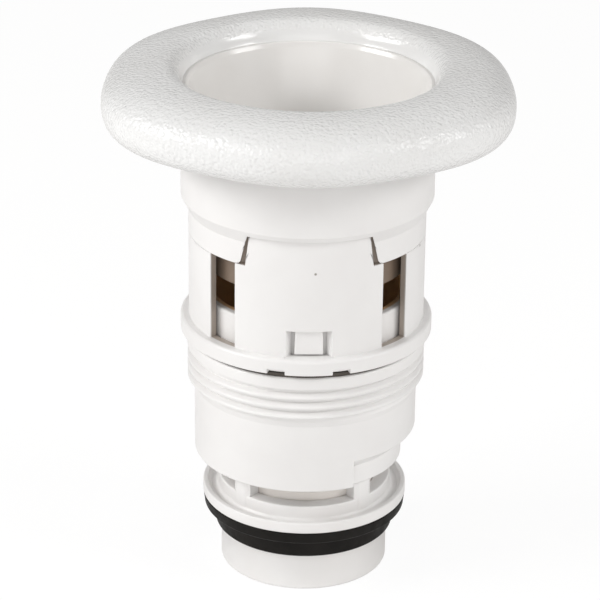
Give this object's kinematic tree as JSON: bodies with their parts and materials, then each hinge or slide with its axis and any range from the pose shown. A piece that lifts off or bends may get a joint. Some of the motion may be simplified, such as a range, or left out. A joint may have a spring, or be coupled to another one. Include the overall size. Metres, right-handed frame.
{
  "type": "hot tub jet",
  "caption": "Hot tub jet internal: lobed textured face, windowed barrel under a crown-edged collar, threaded body, slotted tail cage with black lip seal and a directional nozzle.",
  "frame": {"origin": "centre of the spigot's foot, on the surface that the jet stands on", "axes": "+Z along the jet's axis from the spigot up to the face; -Y is the side with the front latch window"},
  "size_m": [0.1214, 0.1246, 0.1614],
  "materials": {
    "moulded_white": "injection-moulded white plastic, satin sheen, faint mould marks",
    "face_white": "pebble-grained white plastic with a soft sheen",
    "throat_white": "smooth glossy white plastic",
    "cage_white": "smooth white plastic, satin",
    "inner_white": "plain white plastic, unpolished",
    "ball_white": "polished white plastic",
    "washer_dark": "dark low-friction washer",
    "seal_black": "black moulded rubber, satin"
  },
  "bodies": {
    "lower": {"tail_cage": "cage_white", "lip_seal": "seal_black", "venturi_tube": "inner_white", "venturi_ring": "inner_white", "threaded_body": "moulded_white", "valve_sleeve": "inner_white", "axle_bead_ring": "inner_white", "slip_ring": "washer_dark", "cage_o_ring": "seal_black", "sleeve_o_ring": "seal_black"},
    "face": {"flow_barrel": "moulded_white", "snap_collar": "moulded_white", "face_ring": "face_white", "throat_liner": "throat_white", "seat_carrier": "inner_white", "carrier_o_ring": "seal_black", "swivel_washer": "washer_dark", "seat_retainer": "inner_white"},
    "swivel": {"swivel_ring": "ball_white"},
    "nozzle": {"eyeball": "ball_white", "nozzle_tip": "ball_white"}
  },
  "joints": [
    {"name": "flow_turn", "type": "hinge", "parent": "lower", "child": "face", "pos_m": [0, 0, 0.08], "axis": [0, 0, 1], "range_deg": [0, 45]},
    {"name": "swivel_turn", "type": "hinge", "parent": "face", "child": "swivel", "pos_m": [0, 0, 0.11135], "axis": [0, 0, 1], "continuous": true},
    {"name": "nozzle_tilt", "type": "hinge", "parent": "swivel", "child": "nozzle", "pos_m": [0, 0, 0.11135], "axis": [1, 0, 0], "range_deg": [-12, 12]}
  ]
}
